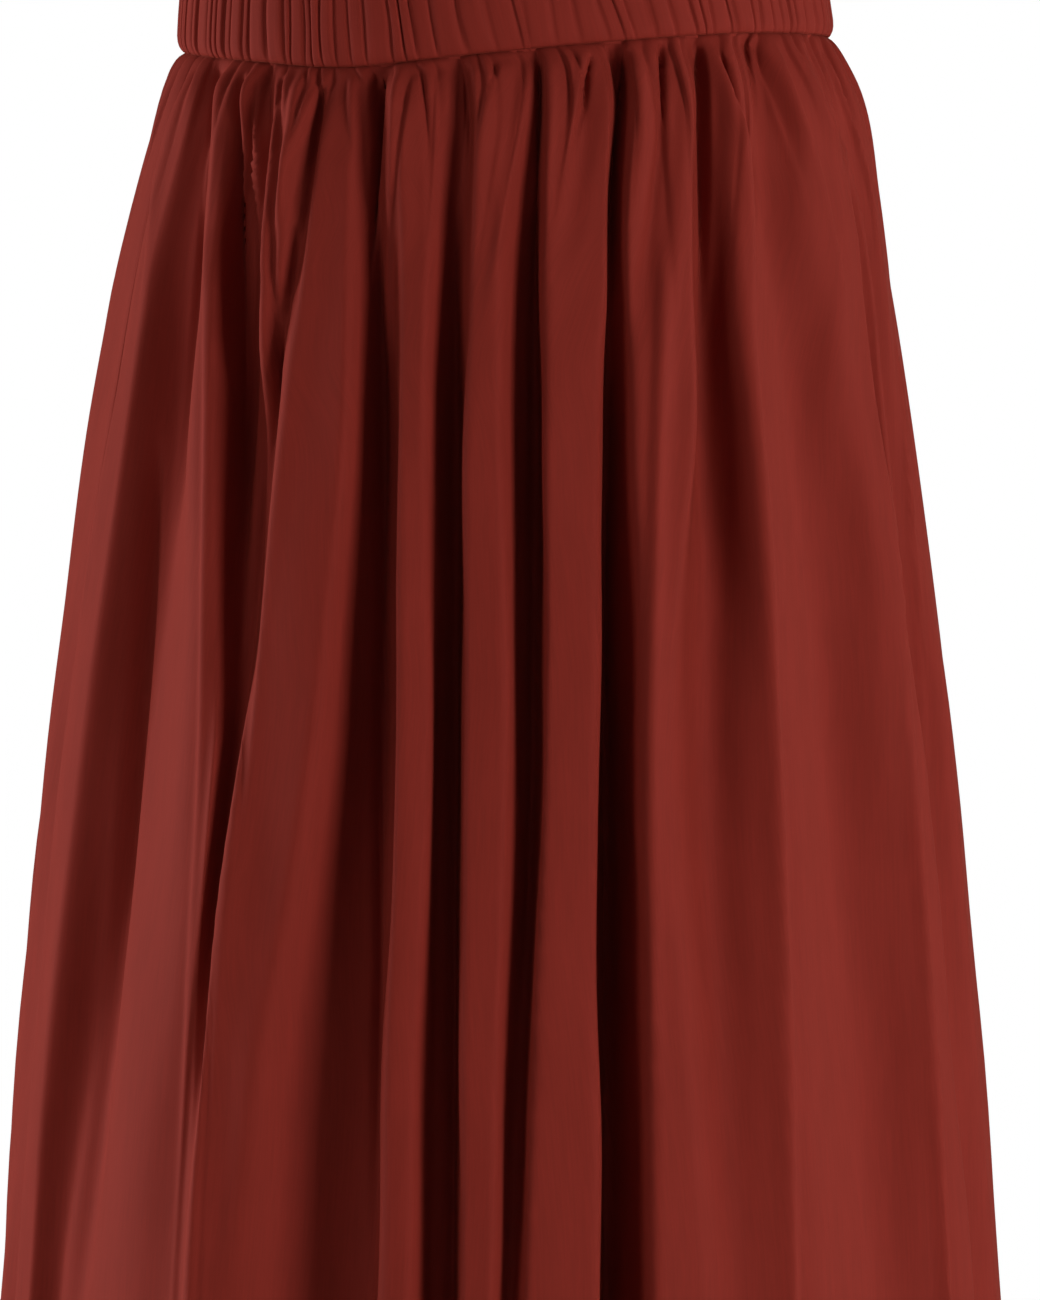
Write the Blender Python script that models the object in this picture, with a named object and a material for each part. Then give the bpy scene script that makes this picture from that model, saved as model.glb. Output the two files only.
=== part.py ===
"""A gathered midi skirt of red-brown cloth, hollow and standing in its folds, as four sewn pieces.

Two skirt panels are gathered into a two-piece waistband, which is a casing round an elastic.
Sizes are in millimetres and turn to metres where a mesh is made. The origin is the middle of the
waist at the level of the waist seam, the front faces -Y, and "below" is measured down from there.
"""

import math
from collections import namedtuple

import bpy
import numpy as np

MM = 0.001

# Lengths and thicknesses.
WAISTBAND_HEIGHT = 45.0
SKIRT_LENGTH = 795.0
SKIRT_WALL = 1.2
WAISTBAND_WALL = 4.0
SEAM_GAP = 0.3

# How far the outline reaches from the origin, over the tops of the folds, at each height.
Section = namedtuple("Section", "below left right front back")
SECTIONS = (
    Section(-45, 131, 131, 92, 94),
    Section(-20, 133, 134, 94, 96),
    Section(0, 135, 138, 95, 97),
    Section(20, 142, 148, 103, 107),
    Section(62, 154, 157, 114, 124),
    Section(145, 171, 170, 130, 146),
    Section(270, 188, 187, 146, 166),
    Section(395, 201, 199, 157, 180),
    Section(520, 210, 208, 167, 190),
    Section(795, 226, 225, 184, 208),
)

# The big folds of the front, left to right, in mm across from the origin at each fold level.
# A fold lies flat from its left to its right shoulder and falls into the valley after it. Where the
# valley lies past the next fold's left shoulder, the cloth is tucked under that fold. A fold's top
# lies back from the outline by "sunk" at the lowest level, and less above it.
FOLD_LEVELS = (10, 70, 145, 270, 500)
Fold = namedtuple("Fold", "left right valley depth sunk")
FRONT_FOLDS = (
    Fold((-128, -146, -160, -180, -200), (-125, -142, -155, -173, -196),
         (-122, -132, -145, -160, -191), (5, 10, 16, 18, 12), 0),
    Fold((-114, -121, -125, -124, -145), (-110, -118, -120, -119, -138),
         (-96, -113, -116, -115, -131), (5, 15, 22, 15, 4), 2),
    Fold((-76, -79, -86, -104, -126), (-62, -65, -66, -78, -116),
         (-50, -53, -52, -53, -66), (6, 14, 24, 34, 36), 0),
    Fold((-41, -40, -41, -42, -50), (-34, -33, -34, -33, -40),
         (-19, -20, -22, -24, -26), (6, 13, 22, 28, 28), 3),
    Fold((-11, -11, -13, -14, -16), (-6, -3, -3, 0, -6),
         (13, 13, 14, 14, 3), (6, 13, 22, 24, 15), 1),
    Fold((20, 18, 19, 19, 11), (41, 42, 41, 38, 38),
         (48, 47, 47, 49, 50), (9, 13, 18, 35, 36), 0),
    Fold((55, 53, 56, 59, 64), (73, 76, 78, 66, 80),
         (82, 87, 92, 90, 99), (7, 14, 22, 17, 7), 0),
    Fold((90, 97, 102, 111, 119), (94, 101, 106, 114, 123),
         (104, 114, 127, 144, 165), (6, 9, 13, 17, 18), 0),
    Fold((112, 131, 148, 165, 188), (128, 145, 153, 171, 193),
         (135, 151, 158, 178, 199), (5, 8, 10, 11, 10), 0),
)
LEFT_SEAM_ACROSS = (-132, -150, -164, -183, -203)
LEFT_SEAM_DEPTH = (1, 2, 3, 4, 4)

# Folds of the right side and then of the back, each from the valley before it to the one after.
# The width is in degrees round, the depth is the valley's at the hem, and the lean moves the fold's
# top towards its left valley (-1) or its right one (1). The right side seam ends the first group.
SideFold = namedtuple("SideFold", "width depth lean")
RIGHT_SIDE_FOLDS = (
    SideFold(width=19, depth=9, lean=-0.1),
    SideFold(width=15, depth=6, lean=0.2),
)
BACK_FOLDS = (
    SideFold(width=15, depth=12, lean=-0.5),
    SideFold(width=18, depth=19, lean=-0.9),
    SideFold(width=14, depth=15, lean=-0.3),
    SideFold(width=20, depth=24, lean=-0.8),
    SideFold(width=13, depth=14, lean=0.1),
    SideFold(width=17, depth=26, lean=0.0),
    SideFold(width=19, depth=17, lean=0.7),
    SideFold(width=14, depth=21, lean=0.3),
    SideFold(width=18, depth=14, lean=0.9),
    SideFold(width=15, depth=18, lean=0.4),
    SideFold(width=11, depth=4, lean=-0.2),
)
SIDE_DEPTH_SHARES = (0.25, 0.6, 0.85, 1.0, 1.0)
TOP_REACH = 0.28
TOP_HALF_WIDTH = 0.11

# Below the last fold level the folds run on to the hem as they were turning, and deepen a little.
RUN_ON = 0.5
HEM_DEEPENING = 1.08

# Radius of the bend where the cloth turns down over a fold's steep shoulder.
SHOULDER_BEND = 2.2

# Short folds that run down from the gathers and die out, in degrees round from the middle of the
# front. Each goes from its start at the seam through its bend to its end. One with a negative
# height is a groove between two of them. Heights and half widths are in mm.
ShortFold = namedtuple("ShortFold", "start bend end bend_below end_below half_width height")
SHORT_FOLDS = (
    ShortFold(-50, -47, -46, 45, 95, 3, 5),
    ShortFold(-43, -39, -35, 75, 250, 4, 11),
    ShortFold(-38, -36, -33, 60, 145, 4, 8),
    ShortFold(-20, -19, -20, 62, 135, 4, 8),
    ShortFold(3, 1, -3, 50, 115, 4, 3),
    ShortFold(15, 12, 9, 40, 90, 5, -3),
    ShortFold(28, 24, 19, 65, 125, 5, -6),
    ShortFold(38, 41, 42, 25, 60, 4, -3),
    ShortFold(48, 50, 52, 25, 60, 4, -3),
    ShortFold(63, 65, 67, 35, 80, 4, -4),
    ShortFold(121, 120, 118, 60, 130, 5, 6),
    ShortFold(147, 149, 151, 70, 160, 5, 7),
    ShortFold(183, 182, 179, 55, 120, 5, 5),
    ShortFold(209, 210, 213, 65, 150, 5, 7),
    ShortFold(239, 238, 236, 60, 135, 5, 6),
    ShortFold(268, 268, 269, 50, 110, 4, 4),
)
SHORT_FOLD_START = 0.25

# Height of the waist seam round the waist, in mm above the origin, by degrees from the front.
SEAM_DEGREES = (-90, -50, -30, -10, 12, 40, 90, 150, 210, 270)
SEAM_HEIGHTS = (0, -6, -9, -5, 0, 5, 6, 5, 3, 0)
SEAM_LEVELS_OUT = 150.0
SEAM_PINCH = 1.6
SEAM_PINCH_REACH = 4.0

# At the seam the folds are sewn nearly flat, and they reach their depth a little below it.
SEWN_FLAT = 0.75
SEWN_FLAT_REACH = 3.5

# Fine gathers below the seam and puffs on the waistband, uneven in width, height and length. Each
# is a narrow groove and then a puff, whose points stand at these shares of its width and height.
PUFF_SHAPE = ((0.0, 0.0), (0.22, 1.0), (0.78, 0.85))
GATHER_HEIGHT = 2.4
GATHER_LENGTH = 36.0
GATHER_ROOM = 6.0
WAIST_PUFFS_A_SIDE = 36
WAIST_PUFF_HEIGHT = 1.8
WAIST_PUFF_SLANT = 4.0
UNEVENNESS = 0.4
SEED = 12

# Rows of points down the waistband and the skirt, and columns round the parts of each fold. Near
# the seam the columns stand evenly, for the gathers, and further down they follow the folds.
WAISTBAND_ROWS = ((-45, 0.3), (-41, 0.8), (-22, 1.0), (-4, 1.0), (0, 0.4))
SKIRT_ROWS = (0, 5, 16, 42, 85, 150, 250, 385, 570, 795)
LINES_A_FOLD = 3
TOP_STEPS = 2
SLOPE_STEPS = 5
COLUMNS_A_FOLD = TOP_STEPS + 2 * SLOPE_STEPS
RIGHT_SEAM_COLUMN = COLUMNS_A_FOLD * (len(FRONT_FOLDS) + len(RIGHT_SIDE_FOLDS))
EVEN_REACH = 46.0
FINE_STEPS = 4

CLOTH_COLOUR = (0.215, 0.034, 0.024, 1.0)
CLOTH_ROUGHNESS = 0.75


def hermite(start, start_slope, end, end_slope, t):
    """The point at t, from 0 to 1, on a cubic between two points with the slopes given there."""
    return (
        (1 + 2 * t) * (1 - t) ** 2 * start
        + t * (1 - t) ** 2 * start_slope
        + t * t * (3 - 2 * t) * end
        - t * t * (1 - t) * end_slope
    )


def smooth_at(places, values, place):
    """The value at a place, on a smooth curve through the values given at the places."""
    places = np.asarray(places, float)
    values = np.asarray(values, float)
    slopes = np.gradient(values, places)
    i = int(np.clip(np.searchsorted(places, place) - 1, 0, len(places) - 2))
    step = places[i + 1] - places[i]
    t = float(np.clip((place - places[i]) / step, 0, 1))
    return hermite(values[i], step * slopes[i], values[i + 1], step * slopes[i + 1], t)


class Ring:
    """The outline of the garment at one height, an ellipse through its four reaches."""

    def __init__(self, below):
        places = [section.below for section in SECTIONS]
        left, right, front, back = (
            smooth_at(places, [getattr(section, side) for section in SECTIONS], below)
            for side in ("left", "right", "front", "back")
        )
        self.centre = np.array([(right - left) / 2, (back - front) / 2])
        self.half = np.array([(right + left) / 2, (back + front) / 2])

    def point(self, degrees, inset=0.0):
        """The point that many degrees round from the middle of the front, moved in by the inset."""
        turn = np.radians(degrees)
        around = np.stack([np.sin(turn), -np.cos(turn)], axis=-1)
        return self.centre + around * self.half - self.outward(degrees) * np.expand_dims(inset, -1)

    def outward(self, degrees):
        turn = np.radians(degrees)
        normal = np.stack([np.sin(turn), -np.cos(turn)], axis=-1) / self.half
        return normal / np.linalg.norm(normal, axis=-1, keepdims=True)

    def along(self, degrees):
        out = self.outward(degrees)
        return np.stack([-out[..., 1], out[..., 0]], axis=-1)

    def degrees_of_across(self, across):
        """Degrees round the front of the place that lies this far across."""
        return math.degrees(math.asin((across - self.centre[0]) / self.half[0]))

    def degrees_of(self, points):
        x, y = ((points - self.centre) / self.half).T
        return np.degrees(np.arctan2(x, -y))


Line = namedtuple("Line", "degrees depth")


def with_hem(degrees, depth):
    """A fold line over all levels, with the hem as a last one."""
    degrees = list(degrees) + [degrees[-1] + RUN_ON * (degrees[-1] - degrees[-2])]
    return Line(degrees, list(depth) + [depth[-1] * HEM_DEEPENING])


def front_line(across, depth):
    rings = [Ring(below) for below in FOLD_LEVELS]
    return with_hem([ring.degrees_of_across(x) for ring, x in zip(rings, across)], depth)


def side_lines(folds, start):
    """Lines of the side or back folds in order, from the valley that ends the fold before them."""
    lines = []
    level = np.ones(len(FOLD_LEVELS))
    for fold in folds:
        top = start + fold.width * (0.5 + TOP_REACH * fold.lean)
        reach = fold.width * TOP_HALF_WIDTH
        start = start + fold.width
        lines.append(with_hem((top - reach) * level, 0 * level))
        lines.append(with_hem((top + reach) * level, 0 * level))
        lines.append(with_hem(start * level, fold.depth * np.array(SIDE_DEPTH_SHARES)))
    return lines


def fold_lines():
    """Left shoulder, right shoulder and valley of every fold in turn, after the left side seam."""
    seam = front_line(LEFT_SEAM_ACROSS, LEFT_SEAM_DEPTH)
    lines = [seam]
    levels = np.array(FOLD_LEVELS) / FOLD_LEVELS[-1]
    for fold in FRONT_FOLDS:
        sunk = fold.sunk * levels
        lines.append(front_line(fold.left, sunk))
        lines.append(front_line(fold.right, sunk))
        lines.append(front_line(fold.valley, fold.depth))
    right_side = side_lines(RIGHT_SIDE_FOLDS, np.array(lines[-1].degrees[:-1]))
    back = side_lines(BACK_FOLDS, np.array(right_side[-1].degrees[:-1]))
    back[-1] = Line([degrees + 360 for degrees in seam.degrees], seam.depth)
    return lines + right_side + back


def corner_points(lines, below):
    """Places of the fold lines at one height, the directions round the ring there, and depths."""
    ring = Ring(below)
    levels = FOLD_LEVELS + (SKIRT_LENGTH,)
    degrees = np.array([smooth_at(levels, line.degrees, below) for line in lines])
    depth = np.array([smooth_at(levels, line.depth, below) for line in lines])
    depth = depth * (1 - SEWN_FLAT * math.exp(-below / SEWN_FLAT_REACH))
    depth = depth + SEAM_PINCH * math.exp(-below / SEAM_PINCH_REACH)
    return ring, ring.point(degrees, depth), ring.along(degrees), depth


def short_fold_relief(degrees, ring, below):
    """How far the short folds lift the cloth at each place of a ring."""
    relief = np.zeros(len(degrees))
    size = ring.half.mean()
    for fold in SHORT_FOLDS:
        if below >= fold.end_below:
            continue
        places = (0, fold.bend_below, fold.end_below)
        middle = smooth_at(places, (fold.start, fold.bend, fold.end), below)
        run = below / fold.end_below
        rise = math.sin(math.pi * (SHORT_FOLD_START + (1 - SHORT_FOLD_START) * run))
        away = np.radians((degrees - middle + 180) % 360 - 180) * size / fold.half_width
        relief += fold.height * rise * np.exp(-away * away)
    return relief


def columns_along(curve, below):
    """The columns' places on a closed curve over the folds, even near the seam."""
    lengths = np.append(0, np.cumsum(np.linalg.norm(np.diff(curve, axis=0), axis=1)))
    by_fold = lengths[::FINE_STEPS]
    seams = [0, RIGHT_SEAM_COLUMN, len(by_fold) - 1]
    evenly = np.interp(np.arange(len(by_fold)), seams, by_fold[seams])
    places = by_fold + math.exp(-((below / EVEN_REACH) ** 2)) * (evenly - by_fold)
    return np.stack([np.interp(places[:-1], lengths, curve[:, axis]) for axis in (0, 1)], axis=-1)


def fold_ring(lines, below):
    """The cloth's middle line at one height: points round the skirt, a curve over every fold."""
    ring, corners, along, depth = corner_points(lines, below)
    points = []
    for i in range(len(corners) - 1):
        way = corners[i + 1] - corners[i]
        reach = [np.linalg.norm(way)] * 2
        on_top = i % LINES_A_FOLD == 1
        if not on_top:
            # A slope bends tightly at its shoulder, which is its higher end, unless it is a long one.
            # A cubic that leaves level with the slope s and drops by d has the radius s * s / (6 * d).
            shoulder = int(depth[i + 1] < depth[i])
            bend = math.sqrt(6 * SHOULDER_BEND * abs(depth[i + 1] - depth[i]))
            reach[shoulder] = max(bend, way @ along[i])
        steps = FINE_STEPS * (TOP_STEPS if on_top else SLOPE_STEPS)
        ends = (corners[i], reach[0] * along[i], corners[i + 1], reach[1] * along[i + 1])
        points.extend(hermite(*ends, step / steps) for step in range(steps))
    points = columns_along(np.array(points + [corners[-1]]), below)
    degrees = ring.degrees_of(points)
    relief = short_fold_relief(degrees, ring, below)
    return points + ring.outward(degrees) * relief[:, None], degrees


def outward_of(points):
    """Outward direction at each point of a closed ring that runs from the left round the front."""
    along = np.roll(points, -1, axis=0) - np.roll(points, 1, axis=0)
    along = along / np.linalg.norm(along, axis=1, keepdims=True)
    return np.stack([along[:, 1], -along[:, 0]], axis=-1)


def seam_height(degrees):
    turned = (np.asarray(degrees) + 90) % 360 - 90
    places = (SEAM_DEGREES[-2] - 360,) + SEAM_DEGREES + (SEAM_DEGREES[1] + 360,)
    heights = (SEAM_HEIGHTS[-2],) + SEAM_HEIGHTS + (SEAM_HEIGHTS[1],)
    return np.array([smooth_at(places, heights, place) for place in turned])


def gather_relief(points, facing, below, random_sizes):
    """Lift of the fine gathers at each column.

    A puff is lower where its neighbours are close and where the cloth faces sideways.
    """
    heights, lengths = random_sizes
    columns = np.arange(len(points))
    gather = columns // len(PUFF_SHAPE)
    shape = np.array([rise for _, rise in PUFF_SHAPE])[columns % len(PUFF_SHAPE)]
    room = np.linalg.norm(np.roll(points, -1, axis=0) - np.roll(points, 1, axis=0), axis=1)
    room = np.minimum(1, room / GATHER_ROOM) * np.maximum(0, facing)
    sewn = 1 - SEWN_FLAT * math.exp(-below / SEWN_FLAT_REACH)
    fade = np.exp(-((below / (GATHER_LENGTH * lengths[gather])) ** 2))
    return GATHER_HEIGHT * heights[gather] * shape * fade * sewn * room


def skirt_grids(lines):
    """Outer and inner points of the whole skirt, rows down from the seam by columns round it."""
    random = np.random.default_rng(SEED)
    folds = len(FRONT_FOLDS) + len(RIGHT_SIDE_FOLDS) + len(BACK_FOLDS)
    gathers = folds * COLUMNS_A_FOLD // len(PUFF_SHAPE)
    sizes = random.uniform(1 - UNEVENNESS, 1 + UNEVENNESS, (2, gathers))
    outer, inner = [], []
    for below in SKIRT_ROWS:
        points, degrees = fold_ring(lines, below)
        out = outward_of(points)
        level_out = max(0.0, 1 - below / SEAM_LEVELS_OUT) ** 2
        height = seam_height(degrees) * level_out - max(below, SEAM_GAP / 2)
        facing = (out * Ring(below).outward(degrees)).sum(axis=1)
        relief = gather_relief(points, facing, below, sizes)[:, None]
        outer.append(np.column_stack([points + out * relief, height]))
        inner.append(np.column_stack([points - out * SKIRT_WALL, height]))
    return np.array(outer), np.array(inner)


def waistband_grids(left_seam, right_seam):
    """Outer and inner points of the waistband, rows down from its top by columns round it."""
    random = np.random.default_rng(SEED)
    degrees, share = [], []
    for start, end in ((left_seam, right_seam), (right_seam, left_seam + 360)):
        widths = random.uniform(1 - UNEVENNESS, 1 + UNEVENNESS, WAIST_PUFFS_A_SIDE)
        widths *= (end - start) / widths.sum()
        heights = random.uniform(1 - UNEVENNESS, 1 + UNEVENNESS, WAIST_PUFFS_A_SIDE)
        for width, height in zip(widths, heights):
            for place, rise in PUFF_SHAPE:
                degrees.append(start + place * width)
                share.append(rise * height)
            start += width
    degrees, share = np.array(degrees), np.array(share)
    slant_share = np.sin(np.radians(degrees - left_seam)) ** 2
    outer, inner = [], []
    for below, fullness in WAISTBAND_ROWS:
        ring = Ring(below)
        slant = WAIST_PUFF_SLANT * slant_share * below / WAISTBAND_HEIGHT
        pinch = SEAM_PINCH * math.exp(below / SEAM_PINCH_REACH)
        height = seam_height(degrees + slant) - min(below, -SEAM_GAP / 2)
        relief = WAIST_PUFF_HEIGHT * fullness * share - pinch
        outer.append(np.column_stack([ring.point(degrees + slant, -relief), height]))
        inner.append(np.column_stack([ring.point(degrees + slant, WAISTBAND_WALL), height]))
    return np.array(outer), np.array(inner)


def piece_of(grid, first, last):
    """The columns from one seam to the next, with the end ones drawn in to leave the seam's gap."""
    piece = np.take(grid, range(first, last + 1), axis=1, mode="wrap").copy()
    for end, neighbour in ((0, 1), (-1, -2)):
        along = piece[:, neighbour, :2] - piece[:, end, :2]
        along = along / np.linalg.norm(along, axis=1, keepdims=True)
        piece[:, end, :2] += along * SEAM_GAP / 2
    return piece


def closed_wall(name, outer, inner, material, collection):
    """A wall between two grids of points, closed along its rims."""
    rows, columns = outer.shape[:2]
    index = np.arange(2 * rows * columns).reshape(2, rows, columns)
    faces = []

    def strip(a, b):
        faces.extend(zip(a[:-1], b[:-1], b[1:], a[1:]))

    for row in range(rows - 1):
        strip(index[0, row], index[0, row + 1])
        # The inner faces start at the same corner, so that both skins are split the same way.
        a, b = index[1, row], index[1, row + 1]
        faces.extend(zip(a[:-1], a[1:], b[1:], b[:-1]))
    strip(index[1, 0], index[0, 0])
    strip(index[0, -1], index[1, -1])
    strip(index[0, :, 0], index[1, :, 0])
    strip(index[1, :, -1], index[0, :, -1])
    points = np.concatenate([outer.reshape(-1, 3), inner.reshape(-1, 3)]) * MM
    mesh = bpy.data.meshes.new(name)
    mesh.from_pydata(points.tolist(), [], [tuple(int(i) for i in face) for face in faces])
    mesh.validate()
    mesh.shade_smooth()
    mesh.materials.append(material)
    piece = bpy.data.objects.new(name, mesh)
    collection.objects.link(piece)
    return piece


def cloth_material(name):
    material = bpy.data.materials.new(name)
    material.use_nodes = True
    shader = material.node_tree.nodes["Principled BSDF"]
    shader.inputs["Base Color"].default_value = CLOTH_COLOUR
    shader.inputs["Roughness"].default_value = CLOTH_ROUGHNESS
    shader.inputs["Metallic"].default_value = 0.0
    return material


def build():
    for old in list(bpy.data.objects):
        bpy.data.objects.remove(old)
    collection = bpy.data.collections.new("gathered_midi_skirt")
    bpy.context.scene.collection.children.link(collection)

    lines = fold_lines()
    right_seam_line = LINES_A_FOLD * (len(FRONT_FOLDS) + len(RIGHT_SIDE_FOLDS))
    seam_lines = (lines[0], lines[right_seam_line])
    skirt = skirt_grids(lines)
    waistband = waistband_grids(*(line.degrees[0] for line in seam_lines))
    band_seam = WAIST_PUFFS_A_SIDE * len(PUFF_SHAPE)

    for name, grids, seam in (("skirt", skirt, RIGHT_SEAM_COLUMN), ("waistband", waistband, band_seam)):
        count = grids[0].shape[1]
        for side, first, last in (("front", 0, seam), ("back", seam, count)):
            outer, inner = (piece_of(grid, first, last) for grid in grids)
            material = cloth_material(f"{name}_{side}_cloth")
            closed_wall(f"{name}_{side}", outer, inner, material, collection)


build()
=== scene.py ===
# %% [markdown]
# # A gathered midi skirt
# The skirt is two panels of red-brown cotton, gathered into a soft waistband. The waistband is a
# strip of the same cotton folded round an elastic, which draws it in. This lesson puts fine cloth
# over a plain solid model of the skirt: first the shape of the cloth, then its stitches, its
# weave and the light.

# %% Load the solid model
import math
from collections import namedtuple

import bpy
import numpy as np
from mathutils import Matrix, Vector


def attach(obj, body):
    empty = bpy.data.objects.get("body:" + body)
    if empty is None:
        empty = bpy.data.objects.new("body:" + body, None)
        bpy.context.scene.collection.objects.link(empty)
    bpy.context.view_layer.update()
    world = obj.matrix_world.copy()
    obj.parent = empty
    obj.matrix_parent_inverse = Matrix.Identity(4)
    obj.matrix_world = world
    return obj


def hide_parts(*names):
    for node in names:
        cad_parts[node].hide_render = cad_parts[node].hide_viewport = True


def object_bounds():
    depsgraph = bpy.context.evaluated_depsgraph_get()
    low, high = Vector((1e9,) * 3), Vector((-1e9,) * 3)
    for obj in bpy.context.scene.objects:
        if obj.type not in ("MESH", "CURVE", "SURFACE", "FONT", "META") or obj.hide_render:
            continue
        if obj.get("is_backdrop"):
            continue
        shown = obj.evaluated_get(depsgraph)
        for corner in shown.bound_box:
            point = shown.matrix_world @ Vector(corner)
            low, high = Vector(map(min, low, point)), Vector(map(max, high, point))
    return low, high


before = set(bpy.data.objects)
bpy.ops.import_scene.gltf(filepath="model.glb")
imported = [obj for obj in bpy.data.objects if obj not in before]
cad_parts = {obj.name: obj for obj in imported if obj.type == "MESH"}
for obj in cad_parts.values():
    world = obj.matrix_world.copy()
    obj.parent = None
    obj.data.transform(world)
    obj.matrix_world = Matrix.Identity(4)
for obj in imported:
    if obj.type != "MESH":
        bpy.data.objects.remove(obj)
cad_box = [list(corner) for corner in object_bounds()]
MM = 0.001
SEED = 12
print("solid pieces:", sorted(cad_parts))

# %% [markdown]
# ## The camera
# Cloth is judged from where we look, so the camera comes first. The skirt was seen from far away
# and level, which keeps the sides straight, so a long lens at 8 m is right. The picture is 1040 by
# 1300 pixels, and 2.4 pixels to a millimetre is a guess. Its axis is a little to the right
# of the skirt's middle, and the waist seam lies near its top.

# %% Camera
PIXELS_PER_MM = 2.4
PICTURE_WIDTH, PICTURE_HEIGHT = 1040, 1300
MIDDLE_PIXEL, SEAM_PIXEL = 503, 52
CAMERA_DISTANCE = 8.0
SENSOR = 36.0

lens = bpy.data.cameras.new("long_lens")
lens.sensor_width = SENSOR
lens.lens = SENSOR * CAMERA_DISTANCE / (PICTURE_HEIGHT / PIXELS_PER_MM * MM)
lens.clip_end = 100.0
camera = bpy.data.objects.new("camera", lens)
camera.location = (
    (PICTURE_WIDTH / 2 - MIDDLE_PIXEL) / PIXELS_PER_MM * MM,
    -CAMERA_DISTANCE,
    -(PICTURE_HEIGHT / 2 - SEAM_PIXEL) / PIXELS_PER_MM * MM,
)
camera.rotation_euler = (math.pi / 2, 0, 0)
bpy.context.scene.collection.objects.link(camera)
bpy.context.scene.camera = camera
print(f"lens {lens.lens:.0f} mm, camera at {tuple(round(x, 3) for x in camera.location)}")

# %% [markdown]
# ## The outline
# A skirt that hangs from a waist is nearly an oval at every height. The oval could be drawn once
# and scaled, but hips make it grow fast under the waist and slowly towards the hem, so a short
# table gives how far it reaches to each side. A smooth curve runs through the rows of the table.
# Sizes are in millimetres, and "below" is measured down from the waist seam.

# %% The oval at each height
Section = namedtuple("Section", "below left right front back")
SECTIONS = (
    Section(-45, 131, 131, 92, 94),
    Section(-20, 133, 134, 94, 96),
    Section(0, 135, 138, 95, 97),
    Section(20, 142, 148, 103, 107),
    Section(62, 154, 157, 114, 124),
    Section(145, 171, 170, 130, 146),
    Section(270, 188, 187, 146, 166),
    Section(395, 201, 199, 157, 180),
    Section(520, 210, 208, 167, 190),
    Section(795, 226, 225, 184, 208),
)
SKIRT_LENGTH = 795.0


def hermite(start, start_slope, end, end_slope, t):
    """The point at t, from 0 to 1, on a cubic between two points with the slopes given there."""
    return (
        (1 + 2 * t) * (1 - t) ** 2 * start
        + t * (1 - t) ** 2 * start_slope
        + t * t * (3 - 2 * t) * end
        - t * t * (1 - t) * end_slope
    )


def smooth_at(places, values, place):
    """The value at a place, on a smooth curve through the values given at the places."""
    places, values = np.asarray(places, float), np.asarray(values, float)
    slopes = np.gradient(values, places)
    i = np.clip(np.searchsorted(places, place) - 1, 0, len(places) - 2)
    step = places[i + 1] - places[i]
    t = np.clip((place - places[i]) / step, 0, 1)
    return hermite(values[i], step * slopes[i], values[i + 1], step * slopes[i + 1], t)


class Ring:
    """The outline of the skirt at one height, an ellipse through its four reaches."""

    def __init__(self, below):
        places = [section.below for section in SECTIONS]
        left, right, front, back = (
            smooth_at(places, [getattr(section, side) for section in SECTIONS], below)
            for side in ("left", "right", "front", "back")
        )
        self.centre = np.array([(right - left) / 2, (back - front) / 2])
        self.half = np.array([(right + left) / 2, (back + front) / 2])

    def point(self, degrees, inset=0.0):
        turn = np.radians(degrees)
        around = np.stack([np.sin(turn), -np.cos(turn)], axis=-1)
        return self.centre + around * self.half - self.outward(degrees) * np.expand_dims(inset, -1)

    def outward(self, degrees):
        turn = np.radians(degrees)
        normal = np.stack([np.sin(turn), -np.cos(turn)], axis=-1) / self.half
        return normal / np.linalg.norm(normal, axis=-1, keepdims=True)

    def along(self, degrees):
        out = self.outward(degrees)
        return np.stack([-out[..., 1], out[..., 0]], axis=-1)

    def degrees_of_across(self, across):
        share = np.clip((across - self.centre[0]) / self.half[0], -1, 1)
        return np.degrees(np.arcsin(share))

    def degrees_of(self, points):
        x, y = ((points - self.centre) / self.half).T
        return np.degrees(np.arctan2(x, -y))


for level in (0, 520):
    print(f"{level} mm down the oval is {2 * Ring(level).half.round(1)} mm across and deep")

# %% [markdown]
# ## The big folds
# Gathered cloth doesn't hang in even waves. Each fold has a flat top and two shoulders, and falls
# into a valley, and where a valley lies past the next shoulder the cloth is tucked under. A cloth
# simulation would make folds too, but other ones. So each fold of the front is a row of a table:
# where its shoulders and its valley lie at five heights, and how deep the valley is. Folds of the
# sides and the back need only a width, a depth and a lean.

# %% Fold tables
FOLD_LEVELS = (10, 70, 145, 270, 500)
Fold = namedtuple("Fold", "left right valley depth sunk")
FRONT_FOLDS = (
    Fold((-128, -146, -160, -180, -200), (-125, -142, -155, -173, -196),
         (-122, -132, -145, -160, -191), (5, 10, 16, 18, 12), 0),
    Fold((-114, -121, -125, -124, -145), (-110, -118, -120, -119, -138),
         (-96, -113, -116, -115, -131), (5, 15, 22, 15, 4), 2),
    Fold((-76, -79, -86, -104, -126), (-62, -65, -66, -78, -116),
         (-50, -53, -52, -53, -66), (6, 14, 24, 34, 36), 0),
    Fold((-41, -40, -41, -42, -50), (-34, -33, -34, -33, -40),
         (-19, -20, -22, -24, -26), (6, 13, 22, 28, 28), 3),
    Fold((-11, -11, -13, -14, -16), (-6, -3, -3, 0, -6),
         (13, 13, 14, 14, 3), (6, 13, 22, 24, 15), 1),
    Fold((20, 18, 19, 19, 11), (41, 42, 41, 38, 38),
         (48, 47, 47, 49, 50), (9, 13, 18, 35, 36), 0),
    Fold((55, 53, 56, 59, 64), (73, 76, 78, 66, 80),
         (82, 87, 92, 90, 99), (7, 14, 22, 17, 7), 0),
    Fold((90, 97, 102, 111, 119), (94, 101, 106, 114, 123),
         (104, 114, 127, 144, 165), (6, 9, 13, 17, 18), 0),
    Fold((112, 131, 148, 165, 188), (128, 145, 153, 171, 193),
         (135, 151, 158, 178, 199), (5, 8, 10, 11, 10), 0),
)
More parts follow.
